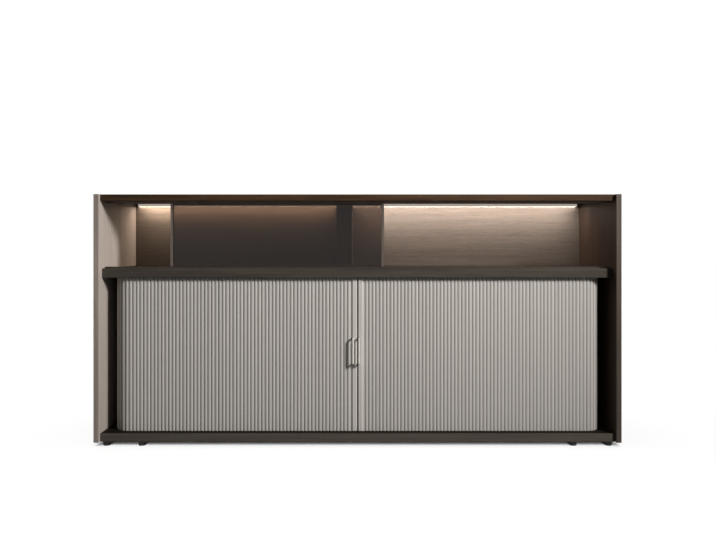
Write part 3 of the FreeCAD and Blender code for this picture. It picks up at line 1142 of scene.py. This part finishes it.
# ------------------------------------------------------------------------------ the case
@dataclass
class Case:
    """The boards that carry everything, with the back and its screws."""

    workshop: Workshop
    screw_count: int = 7
    screw_inset: float = 0.06
    screw_radius: float = 0.0042
    screw_rise: float = 0.0022
    screw_sharp: float = 35
    dome: tuple[tuple[float, float], ...] = ((1.0, 0.3), (0.86, 0.72), (0.6, 1.0))
    recess_inset: float = 0.12
    recess_lobes: int = 6
    lobe_depth: float = 0.12
    recess_depth: float = 0.7
    facets: int = 24

    def build(self) -> None:
        """Dress the boards and add the screws of the back."""
        shop = self.workshop
        shop.eased_copy("left_side_panel", Finishes.END_OAK)
        shop.eased_copy("right_side_panel", Finishes.END_WALNUT)
        shop.eased_copy("top_board", Finishes.TOP_WALNUT)
        shop.eased_copy("display_deck", Finishes.DECK_WALNUT)
        shop.eased_copy("bottom_board", Finishes.BOTTOM_WALNUT)
        shop.eased_copy("niche_divider", Finishes.DIVIDER_WALNUT)
        shop.keep(Finishes.WALL_WALNUT, "back_panel")
        shop.keep(Finishes.RUBBER, "lead_grommet")
        self._back_screws()

    def _back_screws(self) -> None:
        """Add two rows of round-headed screws, into the rear edges of the deck and the bottom."""
        low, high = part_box("back_panel")
        mesh = bmesh.new()
        span = high.x - low.x - 2 * self.screw_inset
        for board in ("display_deck", "bottom_board"):
            board_low, board_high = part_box(board)
            z = (board_low.z + board_high.z) / 2
            for number in range(self.screw_count):
                x = low.x + self.screw_inset + span * number / (self.screw_count - 1)
                pour(self._screw(Vector((x, high.y, z))), mesh)
        smooth_round(mesh, self.screw_sharp)
        self.workshop.piece("back_panel_screws", mesh, Finishes.ZINC, ROOT_BODY)

    def _screw(self, seat: Vector) -> bmesh.types.BMesh:
        """Turn a domed head with a lobed recess, and stand it facing the back.

        Args:
            seat: The middle of the head's flat underside.

        Returns:
            The head's bmesh.
        """
        head = bmesh.new()
        radius = self.screw_radius
        rise = self.screw_rise
        dome = [(radius * out, rise * up) for out, up in self.dome]
        lathe(head, [(0.0, 0.0), (radius, 0.0), *dome, (0.0, rise)], self.facets)
        crown = [face for face in head.faces if face.calc_center_median().z > rise * 0.99]
        bmesh.ops.dissolve_faces(head, faces=crown)
        top = max(head.faces, key=lambda face: face.calc_center_median().z)
        bmesh.ops.inset_region(head, faces=[top], thickness=radius * self.recess_inset)
        for corner in top.verts:
            wave = math.cos(self.recess_lobes * math.atan2(corner.co.y, corner.co.x))
            corner.co.xy *= 1 - self.lobe_depth + self.lobe_depth * wave
        floor = bmesh.ops.extrude_face_region(head, geom=[top])["geom"]
        sink = (0, 0, -rise * self.recess_depth)
        bmesh.ops.translate(head, verts=points_made(floor), vec=sink)
        bmesh.ops.delete(head, geom=[top], context="FACES_ONLY")
        turn = Matrix.Translation(seat) @ Matrix.Rotation(math.radians(-90), 4, "X")
        bmesh.ops.transform(head, matrix=turn, verts=head.verts)
        return head


@dataclass
class Glides:
    """The eight round glides that the credenza stands on."""

    workshop: Workshop
    steps: int = 40
    rim: float = 0.0015

    def build(self) -> None:
        """Turn each glide and stand it under the boards."""
        low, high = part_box("feet")
        centres = self._centres()
        radius = high.x - max(x for x, y in centres)
        mesh = bmesh.new()
        for x, y in centres:
            glide = bmesh.new()
            lathe(glide, self._outline(radius, high.z - low.z), self.steps)
            bmesh.ops.translate(glide, verts=glide.verts, vec=(x, y, low.z))
            pour(glide, mesh)
        smooth_round(mesh)
        self.workshop.piece("glides", mesh, Finishes.PLASTIC, ROOT_BODY, ["feet"])

    def _outline(self, radius: float, height: float) -> list[tuple[float, float]]:
        """Draw the glide's outline: a rounded foot, a shallow neck and a top plate.

        Args:
            radius: The top plate's radius.
            height: The glide's height.

        Returns:
            Its (radius, height) points from the floor up.
        """
        foot = radius * 0.9
        return [
            (0.0, 0.0),
            (foot - self.rim, 0.0),
            (foot - self.rim * 0.3, self.rim * 0.3),
            (foot, self.rim),
            (foot, height * 0.42),
            (foot - self.rim, height * 0.5),
            (foot - self.rim, height * 0.58),
            (radius - self.rim * 0.4, height * 0.62),
            (radius, height * 0.68),
            (radius, height),
            (0.0, height),
        ]

    def _centres(self) -> list[tuple[float, float]]:
        """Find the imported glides, as the parts of their node that aren't joined.

        Returns:
            The (x, y) of each.
        """
        mesh = self.workshop.merged_copy("feet")
        left = set(mesh.verts)
        centres = []
        while left:
            reached = {left.pop()}
            edge_of = list(reached)
            while edge_of:
                vertex = edge_of.pop()
                for edge in vertex.link_edges:
                    other = edge.other_vert(vertex)
                    if other not in reached:
                        reached.add(other)
                        edge_of.append(other)
            left -= reached
            xs = [vertex.co.x for vertex in reached]
            ys = [vertex.co.y for vertex in reached]
            centres.append(((min(xs) + max(xs)) / 2, (min(ys) + max(ys)) / 2))
        mesh.free()
        return centres


# ------------------------------------------------------------------------------ the niche
@dataclass
class NicheLight:
    """The light channels along the rear corner of the cove."""

    workshop: Workshop

    def build(self) -> None:
        """Dress the channels, their covers and their ends."""
        shop = self.workshop
        # The channels carry a painted glow; the covers are the lamps.
        shop.keep(Finishes.CHANNEL, "left_led_profile", "right_led_profile")
        shop.keep(Finishes.LIGHT_LEFT, "left_led_diffuser")
        shop.keep(Finishes.LIGHT_RIGHT, "right_led_diffuser")
        shop.keep(Finishes.DIODES, "left_led_board", "right_led_board")
        shop.keep(Finishes.PLASTIC, "led_end_caps")


@dataclass
class GlassScreen:
    """The framed sheet of smoked glass and the tracks that it slides in."""

    workshop: Workshop
    body: str = "screen"

    def build(self) -> None:
        """Dress the glass, its frame, its runners and both tracks."""
        shop = self.workshop
        shop.keep(Finishes.GLASS, "screen_pane")
        shop.eased_copy("screen_stiles", Finishes.BRONZE, self.body, 0.0004)
        shop.eased_copy("screen_rails", Finishes.BRONZE_RAIL, self.body, 0.0004)
        shop.keep(Finishes.NYLON, "screen_runners", "screen_guides")
        shop.keep(Finishes.TRACK, "lower_screen_track", "upper_screen_track")


# ------------------------------------------------------------------------------ a tambour door
@dataclass
class TambourDoor:
    """One door: a reeded curtain on canvas, behind a lead edge with its pull."""

    workshop: Workshop
    side: Side
    front_reeds: int = 62
    bend_reeds: int = 6
    side_reeds: int = 12
    tongue_thick: float = 0.0053
    joint: float = 0.0004
    arc_steps: int = 10
    reed_end_play: float = 0.001
    groove_reach: float = 0.0077
    pull_thick: float = 0.005
    pull_bend: float = 0.0062
    pull_arris: float = 0.0007
    bend_steps: int = 8
    stile_arris: float = 0.0005
    canvas_hollow: float = 0.00025
    start_x: float = field(init=False)
    bend_x: float = field(init=False)
    bend_y: float = field(init=False)
    bend_radius: float = field(init=False)
    pitch: float = field(init=False)
    crest_y: float = field(init=False)
    band_y: float = field(init=False)
    low_z: float = field(init=False)
    high_z: float = field(init=False)

    def __post_init__(self) -> None:
        """Take the curtain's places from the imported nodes."""
        low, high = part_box(self.side.word + "_curtain_slats")
        reach = (abs(low.x), abs(high.x))
        self.start_x = min(reach) - self.joint / 2
        self.bend_x = max(reach) + self.joint / 2
        self.pitch = (self.bend_x - self.start_x) / self.front_reeds
        self.crest_y = low.y
        self.band_y = high.y
        self.low_z = low.z
        self.high_z = high.z
        self.bend_radius = self.bend_reeds * self.pitch / (math.pi / 2)
        self.bend_y = self.band_y + self.bend_radius

    @property
    def joint_name(self) -> str:
        """Return the name of the joint that the door slides on."""
        return self.side.word + "_door_slide"

    @property
    def body(self) -> str:
        """Return the body of the lead edge."""
        return self.side.word + "_door"

    def build(self) -> None:
        """Build the curtain, the canvas, the lead edge and the pull."""
        shop = self.workshop
        word = self.side.word
        reed = self._reed()
        stretches = (
            ("_reeds_front", "_curtain_slats", self._front_places()),
            ("_reeds_bend", "_bend_slats", self._bend_places()),
            ("_reeds_side", "_side_run_slats", self._run_places()),
        )
        reeds = [
            shop.piece(
                word + name, self._curtain(reed, places), Finishes.REED, ROOT_BODY, [word + node]
            )
            for name, node, places in stretches
        ]
        self._follow_stile(reeds[0])
        bpy.data.meshes.remove(reed)
        self._canvas()
        shop.keep(Finishes.CLOTH_TURN, word + "_turn_canvas")
        for strip in ("_lead_stile", "_meeting_strip"):
            shop.eased_copy(word + strip, Finishes.STILE, self.body, self.stile_arris)
        self._pull()
        shop.keep(Finishes.ZINC, word + "_pull_screws")

    def _follow_stile(self, piece: bpy.types.Object) -> None:
        """Give a front piece its own mesh. How far it would close up towards the bend is worked out
        but not applied.

        Args:
            piece: The reeds or the canvas across the front.
        """
        width = self.bend_x - self.start_x
        keep = (width - self.workshop.travel(self.joint_name)) / width
        anchor = (self.side.value * self.bend_x, 0, 0)
        self.joint_name
        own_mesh(piece)

    def _reed(self) -> bpy.types.Mesh:
        """Make one reed at the origin, its flat back on y = 0 and its round face towards -Y.

        Returns:
            The reed's mesh, with its grain map.
        """
        half = (self.pitch - self.joint) / 2
        rise = self.band_y - self.crest_y - self.tongue_thick
        radius = (half**2 + rise**2) / (2 * rise)
        sweep = 2 * math.asin(half / radius)
        low = self.low_z + self.groove_reach + self.reed_end_play
        high = self.high_z - self.groove_reach - self.reed_end_play
        mesh = bmesh.new()
        first = mesh.verts.new((-half, -self.tongue_thick, low))
        bmesh.ops.spin(
            mesh,
            geom=[first],
            cent=(0, radius - rise - self.tongue_thick, low),
            axis=(0, 0, 1),
            angle=sweep,
            steps=self.arc_steps,
        )
        chain = sorted(mesh.verts, key=lambda vertex: vertex.co.x)
        corners = [mesh.verts.new((x, 0.0, low)) for x in (half, -half)]
        section = mesh.faces.new(chain + corners)
        raised = bmesh.ops.extrude_face_region(mesh, geom=[section], use_keep_orig=True)["geom"]
        bmesh.ops.translate(mesh, verts=points_made(raised), vec=(0, 0, high - low))
        for z0, z1 in ((self.low_z, low), (high, self.high_z)):
            add_block(mesh, Vector((-half, -self.tongue_thick, z0)), Vector((half, 0.0, z1)))
        bmesh.ops.recalc_face_normals(mesh, faces=mesh.faces)
        smooth_round(mesh)
        map_grain(mesh)
        data = bpy.data.meshes.new("reed")
        mesh.to_mesh(data)
        mesh.free()
        return data

    def _curtain(
        self, reed: bpy.types.Mesh, places: Sequence[tuple[float, float, float, float]]
    ) -> bmesh.types.BMesh:
        """Stand copies of the reed side by side.

        Args:
            reed: The reed.
            places: The x and y of each, its turn in radians, and its place along the curtain.

        Returns:
            The curtain's bmesh.
        """
        mesh = bmesh.new()
        for x, y, turn, along in places:
            before_verts = len(mesh.verts)
            before_faces = len(mesh.faces)
            mesh.from_mesh(reed)
            mesh.verts.ensure_lookup_table()
            mesh.faces.ensure_lookup_table()
            stand = Matrix.Translation((x, y, 0)) @ Matrix.Rotation(turn, 4, "Z")
            bmesh.ops.transform(mesh, matrix=stand, verts=mesh.verts[before_verts:])
            grain = mesh.loops.layers.uv[GRAIN_MAP]
            for face in mesh.faces[before_faces:]:
                for loop in face.loops:
                    loop[grain].uv.x += along
        return mesh

    def _front_places(self) -> list[tuple[float, float, float, float]]:
        """Work out where the reeds between the lead edge and the bend stand.

        Returns:
            The x and y of each, its turn in radians, and its place along the curtain.
        """
        sign = self.side.value
        places = []
        for number in range(self.front_reeds):
            x = self.start_x + (number + 0.5) * self.pitch
            places.append((sign * x, self.band_y, 0.0, sign * x))
        return places

    def _bend_places(self) -> list[tuple[float, float, float, float]]:
        """Work out where the reeds round the bend stand.

        Returns:
            The x and y of each, its turn in radians, and its place along the curtain.
        """
        sign = self.side.value
        places = []
        for number in range(self.bend_reeds):
            turn = (number + 0.5) * math.pi / 2 / self.bend_reeds
            x = self.bend_x + self.bend_radius * math.sin(turn)
            y = self.bend_y - self.bend_radius * math.cos(turn)
            along = sign * (self.bend_x + (number + 0.5) * self.pitch)
            places.append((sign * x, y, sign * turn, along))
        return places

    def _run_places(self) -> list[tuple[float, float, float, float]]:
        """Work out where the reeds along the end of the cupboard stand.

        Returns:
            The x and y of each, its turn in radians, and its place along the curtain.
        """
        sign = self.side.value
        bend_length = self.bend_reeds * self.pitch
        places = []
        for number in range(self.side_reeds):
            step = (number + 0.5) * self.pitch
            x = self.bend_x + self.bend_radius
            along = sign * (self.bend_x + bend_length + step)
            places.append((sign * x, self.bend_y + step, sign * math.pi / 2, along))
        return places

    def _canvas(self) -> None:
        """Make the canvas behind the front reeds, with a slight hollow behind each joint."""
        node = self.side.word + "_curtain_canvas"
        low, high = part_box(node)
        columns = self.front_reeds * 2
        mesh = bmesh.new()
        middle = (low + high) / 2
        upright = Matrix.Rotation(math.pi / 2, 4, "X")
        stand = Matrix.Translation((middle.x, low.y, middle.z)) @ upright
        size = Matrix.Diagonal((high.x - low.x, high.z - low.z, 1.0, 1.0))
        bmesh.ops.create_grid(
            mesh, x_segments=columns, y_segments=1, size=0.5, matrix=stand @ size, calc_uvs=False
        )
        map_grain(mesh)
        raised = bmesh.ops.extrude_face_region(mesh, geom=mesh.faces[:], use_keep_orig=True)["geom"]
        inner = points_made(raised)
        bmesh.ops.translate(mesh, verts=inner, vec=(0, high.y - low.y, 0))
        for vertex in inner:
            turns = (abs(vertex.co.x) - self.start_x) / self.pitch
            vertex.co.y -= self.canvas_hollow * (0.5 + 0.5 * math.cos(math.tau * turns))
        bmesh.ops.recalc_face_normals(mesh, faces=mesh.faces)
        cloth = self.workshop.piece(
            self.side.word + "_canvas_front", mesh, Finishes.CLOTH, ROOT_BODY, [node]
        )
        self._follow_stile(cloth)

    def _pull(self) -> None:
        """Bend the pull: up out of one post, along the bar and back into the other post."""
        node = self.side.word + "_pull"
        low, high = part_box(node)
        thick = self.pull_thick
        radius = self.pull_bend
        mesh = bmesh.new()
        top = low.z + thick
        corners = [(low.x, low.z), (high.x, low.z), (high.x, top), (low.x, top)]
        bar = Bar(mesh, mesh.faces.new([mesh.verts.new((x, high.y, z)) for x, z in corners]))
        bar.stretch(Vector((0, low.y + radius - high.y, 0)))
        bar.bend(Vector((low.x, low.y + radius, low.z + radius)), self.bend_steps)
        bar.stretch(Vector((0, 0, high.z - low.z - 2 * radius)))
        bar.bend(Vector((low.x, low.y + radius, high.z - radius)), self.bend_steps)
        bar.stretch(Vector((0, high.y - low.y - radius, 0)))
        bmesh.ops.recalc_face_normals(mesh, faces=mesh.faces)
        smooth_round(mesh)
        name = self.side.word + "_bow_pull"
        bow = self.workshop.piece(name, mesh, Finishes.NICKEL, self.body, [node])
        self.workshop.ease(bow, self.pull_arris, 3, 50)


# ------------------------------------------------------------------------------ inside
@dataclass
class Cupboard:
    """The boards behind the curtains."""

    workshop: Workshop

    def build(self) -> None:
        """Dress the inner boards, the shelves and their pins."""
        shop = self.workshop
        shop.keep(Finishes.INNER, "false_back")
        shop.keep(Finishes.INNER_UPRIGHT, "centre_partition", "left_liner", "right_liner")
        shop.eased_copy("left_shelf", Finishes.INNER)
        shop.eased_copy("right_shelf", Finishes.INNER)
        shop.keep(Finishes.ZINC, "shelf_pins")


# ------------------------------------------------------------------------------ studio
@dataclass(frozen=True)
class SoftLamp:
    """A soft lamp: its place, the way that it faces, its width and height, its power and tone."""

    name: str
    place: tuple[float, float, float]
    facing: tuple[float, float, float]
    size: tuple[float, float]
    power: float
    tone: Colour = (1.0, 0.985, 0.965)


@dataclass(frozen=True)
class FloorSun:
    """A sun for the floor alone: its strength, and its rise from the front and width in degrees."""

    name: str
    strength: float
    rise: float
    width: float


@dataclass(frozen=True)
class Wash:
    """A lamp in the cove that spreads a light channel's glow down the back wall.

    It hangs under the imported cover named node, from near to far off the wall, and its power is in
    watts for each metre.
    """

    node: str
    power: float
    tone: Colour
    near: float
    far: float
    end_gap: float = 0.026
    drop: float = 0.002


@dataclass
class Studio:
    """The pale floor, the lamps and the camera."""

    camera_back: float = 2.371
    front_y: float = -0.21
    camera_z: float = 0.6875
    lens: float = 35.0
    shift_x: float = 0.0007
    shift_y: float = -0.0335
    floor_size: float = 40.0
    floor_white: float = 0.8
    floor_bounce: float = 0.12
    floor_sun: FloorSun = FloorSun("floor_sun", 6.6, 29.0, 36.0)
    floor_sky: FloorSun = FloorSun("floor_sky", 0.6, 90.0, 140.0)
    ambient: float = 0.07
    key: SoftLamp = SoftLamp("key", (1.9, -1.7, 1.95), (-1.0, -0.22, -0.2), (0.7, 0.6), 236.0)
    washes: tuple[Wash, ...] = (
        Wash("left_led_diffuser", 2.0, (1.0, 0.83, 0.67), 0.011, 0.05),
        Wash("right_led_diffuser", 3.7, (1.0, 0.91, 0.83), 0.015, 0.12),
    )

    def build(self) -> None:
        """Set the stage."""
        scene = bpy.context.scene
        scene.view_settings.view_transform = "Standard"
        self._camera(scene)
        self._world(scene)
        floor = self._floor()
        for sun in (self.floor_sun, self.floor_sky):
            self._sun(sun, floor)
        self._soft_lamp(self.key, floor)
        for wash in self.washes:
            self._wash(wash)

    def _camera(self, scene: bpy.types.Scene) -> None:
        """Stand the camera level in front of the middle.

        Args:
            scene: The scene that it belongs to.
        """
        data = bpy.data.cameras.new("camera")
        data.lens = self.lens
        data.sensor_width = 36.0
        data.shift_x = self.shift_x
        data.shift_y = self.shift_y
        camera = bpy.data.objects.new("camera", data)
        camera.location = (0.0, self.front_y - self.camera_back, self.camera_z)
        camera.rotation_euler = (math.pi / 2, 0.0, 0.0)
        scene.collection.objects.link(camera)
        scene.camera = camera

    @staticmethod
    def _seen(graph: Graph) -> Value:
        """Tell what is seen from what only sheds light.

        Args:
            graph: The graph of the world or of a material.

        Returns:
            1 for what the camera sees, also in gloss and through glass, and 0 otherwise.
        """
        path = graph.node("ShaderNodeLightPath")
        camera = Value(graph, path.outputs["Is Camera Ray"])
        gloss = Value(graph, path.outputs["Is Glossy Ray"])
        through = Value(graph, path.outputs["Is Transmission Ray"])
        return camera.at_least(gloss).at_least(through)

    def _world(self, scene: bpy.types.Scene) -> None:
        """Light the scene evenly and show a white background.

        Args:
            scene: The scene.
        """
        world = bpy.data.worlds.new("studio")
        world.use_nodes = True
        graph = Graph(world.node_tree)
        strength = self._seen(graph) * (1.0 - self.ambient) + self.ambient
        light = graph.node(
            "ShaderNodeBackground", None, {"Color": (1.0, 1.0, 1.0), "Strength": strength}
        )
        graph.node("ShaderNodeOutputWorld", None, {"Surface": light.outputs["Background"]})
        scene.world = world

    def _floor(self) -> bpy.types.Object:
        """Lay a white floor that keeps the soft shadow under the object.

        Returns:
            The floor.
        """
        mesh = bmesh.new()
        bmesh.ops.create_grid(mesh, x_segments=1, y_segments=1, size=self.floor_size / 2)
        data = bpy.data.meshes.new("floor")
        mesh.to_mesh(data)
        mesh.free()
        floor = bpy.data.objects.new("floor", data)
        bpy.context.scene.collection.objects.link(floor)
        material = bpy.data.materials.new("white_floor")
        material.use_nodes = True
        graph = Graph(material.node_tree)
        paints = [
            graph.node("ShaderNodeBsdfDiffuse", None, {"Color": (white,) * 3}).outputs["BSDF"]
            for white in (self.floor_bounce, self.floor_white)
        ]
        paint = graph.node(
            "ShaderNodeMixShader", None, {0: self._seen(graph), 1: paints[0], 2: paints[1]}
        )
        graph.node("ShaderNodeOutputMaterial", None, {"Surface": paint.outputs["Shader"]})
        data.materials.append(material)
        return floor

    @staticmethod
    def _lights_only(lamp: bpy.types.Object, floor: bpy.types.Object, state: str) -> None:
        """Let a lamp light nothing but the floor, or everything but the floor.

        Args:
            lamp: The lamp.
            floor: The floor.
            state: INCLUDE or EXCLUDE.
        """
        lit = bpy.data.collections.new(lamp.name + "_floor")
        lit.objects.link(floor)
        lamp.light_linking.receiver_collection = lit
        for entry in lit.collection_objects:
            entry.light_linking.link_state = state

    def _sun(self, plan: FloorSun, floor: bpy.types.Object) -> None:
        """Light the floor alone, evenly, so that the shadow stays close in.

        Args:
            plan: The sun.
            floor: The floor.
        """
        data = bpy.data.lights.new(plan.name, "SUN")
        data.energy = plan.strength
        data.angle = math.radians(plan.width)
        sun = bpy.data.objects.new(plan.name, data)
        sun.rotation_euler = (math.radians(90 - plan.rise), 0.0, 0.0)
        bpy.context.scene.collection.objects.link(sun)
        self._lights_only(sun, floor, "INCLUDE")

    @staticmethod
    def _lamp(plan: SoftLamp) -> bpy.types.Object:
        """Hang an area lamp.

        Args:
            plan: The lamp's place, facing, size, power and tone.

        Returns:
            The lamp.
        """
        data = bpy.data.lights.new(plan.name, "AREA")
        data.shape = "RECTANGLE"
        data.size, data.size_y = plan.size
        data.energy = plan.power
        data.color = plan.tone
        lamp = bpy.data.objects.new(plan.name, data)
        lamp.location = plan.place
        lamp.rotation_euler = Vector(plan.facing).to_track_quat("-Z", "Y").to_euler()
        lamp.visible_camera = False
        bpy.context.scene.collection.objects.link(lamp)
        return lamp

    def _soft_lamp(self, plan: SoftLamp, floor: bpy.types.Object) -> None:
        """Hang a soft lamp, which leaves the floor alone."""
        self._lights_only(self._lamp(plan), floor, "EXCLUDE")

    def _wash(self, wash: Wash) -> None:
        """Hang a wash lamp under its channel.

        Args:
            wash: The wash.
        """
        low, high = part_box(wash.node)
        wall_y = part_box("back_panel")[0].y
        length = high.x - low.x - 2 * wash.end_gap
        place = ((low.x + high.x) / 2, wall_y - (wash.near + wash.far) / 2, low.z - wash.drop)
        size = (length, wash.far - wash.near)
        name = wash.node + "_wash"
        plan = SoftLamp(name, place, (0.0, 0.0, -1.0), size, wash.power * length, wash.tone)
        lamp = self._lamp(plan)
        lamp.visible_glossy = False
        lamp.visible_transmission = False


# ------------------------------------------------------------------------------ the whole
def main() -> None:
    """Build and dress the credenza, and set the studio."""
    logging.basicConfig(level=logging.INFO, format="%(name)s %(message)s")
    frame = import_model()
    workshop = Workshop(frame["nodes"], frame["joints"])
    Studio().build()
    parts = [Case(workshop), Glides(workshop), NicheLight(workshop), GlassScreen(workshop)]
    parts += [TambourDoor(workshop, side) for side in Side]
    parts.append(Cupboard(workshop))
    for part in parts:
        part.build()


if __name__ == "__main__":
    main()
